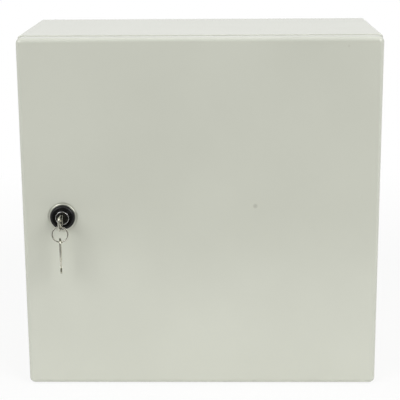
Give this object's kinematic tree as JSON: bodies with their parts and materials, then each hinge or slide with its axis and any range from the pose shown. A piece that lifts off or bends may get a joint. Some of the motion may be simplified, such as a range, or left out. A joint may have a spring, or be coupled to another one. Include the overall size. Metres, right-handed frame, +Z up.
{
  "type": "steel electrical enclosure",
  "caption": "Wall-mounted sheet-steel electrical enclosure: square box, hinged pan door with concealed hinges, cam lock with keys on a ring, mounting plate and gland plate inside.",
  "frame": {"origin": "centre of the four wall-fixing holes, on the outside of the rear wall", "axes": "+Z up, the door faces -Y, +X to the right of someone facing the door, towards the hinges"},
  "size_m": [0.4, 0.2354, 0.4],
  "materials": {
    "powder_coat": "fine textured light grey powder coat",
    "foam_seal": "matt foam",
    "zinc_plate": "zinc plated, satin",
    "galvanised_sheet": "galvanised, spangled",
    "copper_stud": "steel with a copper flash",
    "satin_trim": "satin plated",
    "black_coat": "black, satin, over die casting",
    "dark_plug": "dark plated die casting",
    "bright_ring": "polished",
    "nickel": "nickel plated, worn satin"
  },
  "bodies": {
    "enclosure": {"enclosure_body": "powder_coat", "mounting_plate": "galvanised_sheet", "plate_studs": "copper_stud", "plate_washers": "zinc_plate", "plate_nuts": "zinc_plate", "gland_plate": "galvanised_sheet", "gland_gasket": "foam_seal", "gland_studs": "copper_stud", "gland_nuts": "zinc_plate", "earth_stud": "copper_stud", "earth_washer": "zinc_plate", "earth_nut": "zinc_plate", "upper_hinge_bracket": "zinc_plate", "lower_hinge_bracket": "zinc_plate", "hinge_screws": "zinc_plate", "hinge_nuts": "zinc_plate"},
    "door": {"door_panel": "powder_coat", "door_gasket": "foam_seal", "upper_hinge_leaf": "zinc_plate", "lower_hinge_leaf": "zinc_plate", "upper_hinge_pin": "zinc_plate", "lower_hinge_pin": "zinc_plate", "door_earth_stud": "copper_stud", "door_earth_washer": "zinc_plate", "door_earth_nut": "zinc_plate", "lock_bezel": "satin_trim", "lock_housing": "black_coat", "lock_nut": "zinc_plate"},
    "plug": {"lock_plug": "dark_plug", "plug_ring": "bright_ring", "lock_cam": "zinc_plate", "cam_washer": "zinc_plate", "cam_screw": "zinc_plate"},
    "key_in_lock": {"key": "nickel"},
    "ring": {"key_ring": "nickel"},
    "spare": {"spare_key": "nickel"}
  },
  "joints": [
    {"name": "door_hinge", "type": "hinge", "parent": "enclosure", "child": "door", "pos_m": [0.1935, -0.1905, 0], "axis": [0, 0, 1], "range_deg": [0, 120]},
    {"name": "lock_turn", "type": "hinge", "parent": "door", "child": "plug", "pos_m": [-0.154, -0.2072, 0], "axis": [0, -1, 0], "range_deg": [0, 90]},
    {"name": "key_slide", "type": "slide", "parent": "plug", "child": "key_in_lock", "axis": [0, -1, 0], "range_m": [0, 0.025]},
    {"name": "ring_swing", "type": "hinge", "parent": "key_in_lock", "child": "ring", "pos_m": [-0.154, -0.2275, 0], "axis": [-1, 0, 0], "range_deg": [-10, 90]},
    {"name": "spare_key_swing", "type": "hinge", "parent": "ring", "child": "spare", "pos_m": [-0.154, -0.2275, -0.026], "axis": [-0.9903, -0.1392, 0], "range_deg": [-15, 60]}
  ]
}
